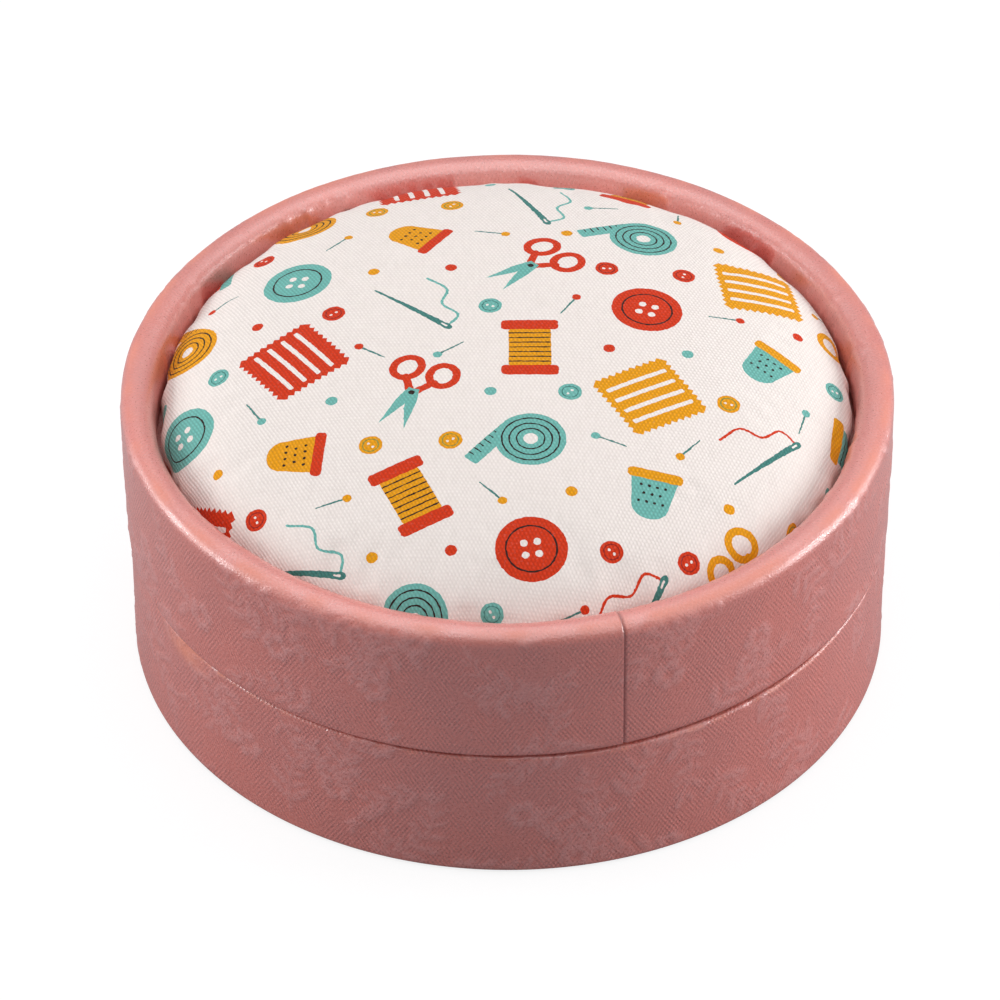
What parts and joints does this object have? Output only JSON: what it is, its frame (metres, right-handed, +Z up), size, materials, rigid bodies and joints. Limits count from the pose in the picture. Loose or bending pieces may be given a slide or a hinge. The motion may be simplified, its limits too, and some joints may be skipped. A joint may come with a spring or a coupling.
{
  "type": "pin cushion box",
  "caption": "Round paper-covered board box whose lift-off lid carries a stuffed printed-cotton pin cushion recessed in its rolled rim.",
  "frame": {"origin": "centre of the underside, on the box's axis", "axes": "+Z up along the axis of the round box, through base, neck, lid and cushion; +X and +Y level, -Y towards the viewer of the lap seam side"},
  "size_m": [0.095, 0.095, 0.0452],
  "materials": {
    "pink_paper": "pearlescent, embossed",
    "underside_paper": "satin",
    "lining_paper": "matt",
    "board": "matt",
    "neck_board": "matt",
    "filling": "matt",
    "printed_cotton": "matt",
    "thread": "matt"
  },
  "bodies": {
    "base": {"base_tube": "board", "base_disc": "board", "base_wrap": "pink_paper", "base_underside_paper": "underside_paper", "base_floor_liner": "lining_paper", "neck_tube": "neck_board", "neck_liner": "lining_paper"},
    "lid_carrier": {"lid_ceiling_liner": "lining_paper"},
    "lid": {"lid_tube": "board", "lid_divider": "board", "lid_wrap": "pink_paper", "cushion_board": "board", "cushion_filling": "filling", "cushion_cover": "printed_cotton", "gathering_thread": "thread"}
  },
  "joints": [
    {"name": "lid_lift", "type": "slide", "parent": "base", "child": "lid_carrier", "axis": [0, 0, 1], "range_m": [0, 0.03]},
    {"name": "lid_turn", "type": "hinge", "parent": "lid_carrier", "child": "lid", "pos_m": [0, 0, 0], "axis": [0, 0, 1], "continuous": true}
  ]
}
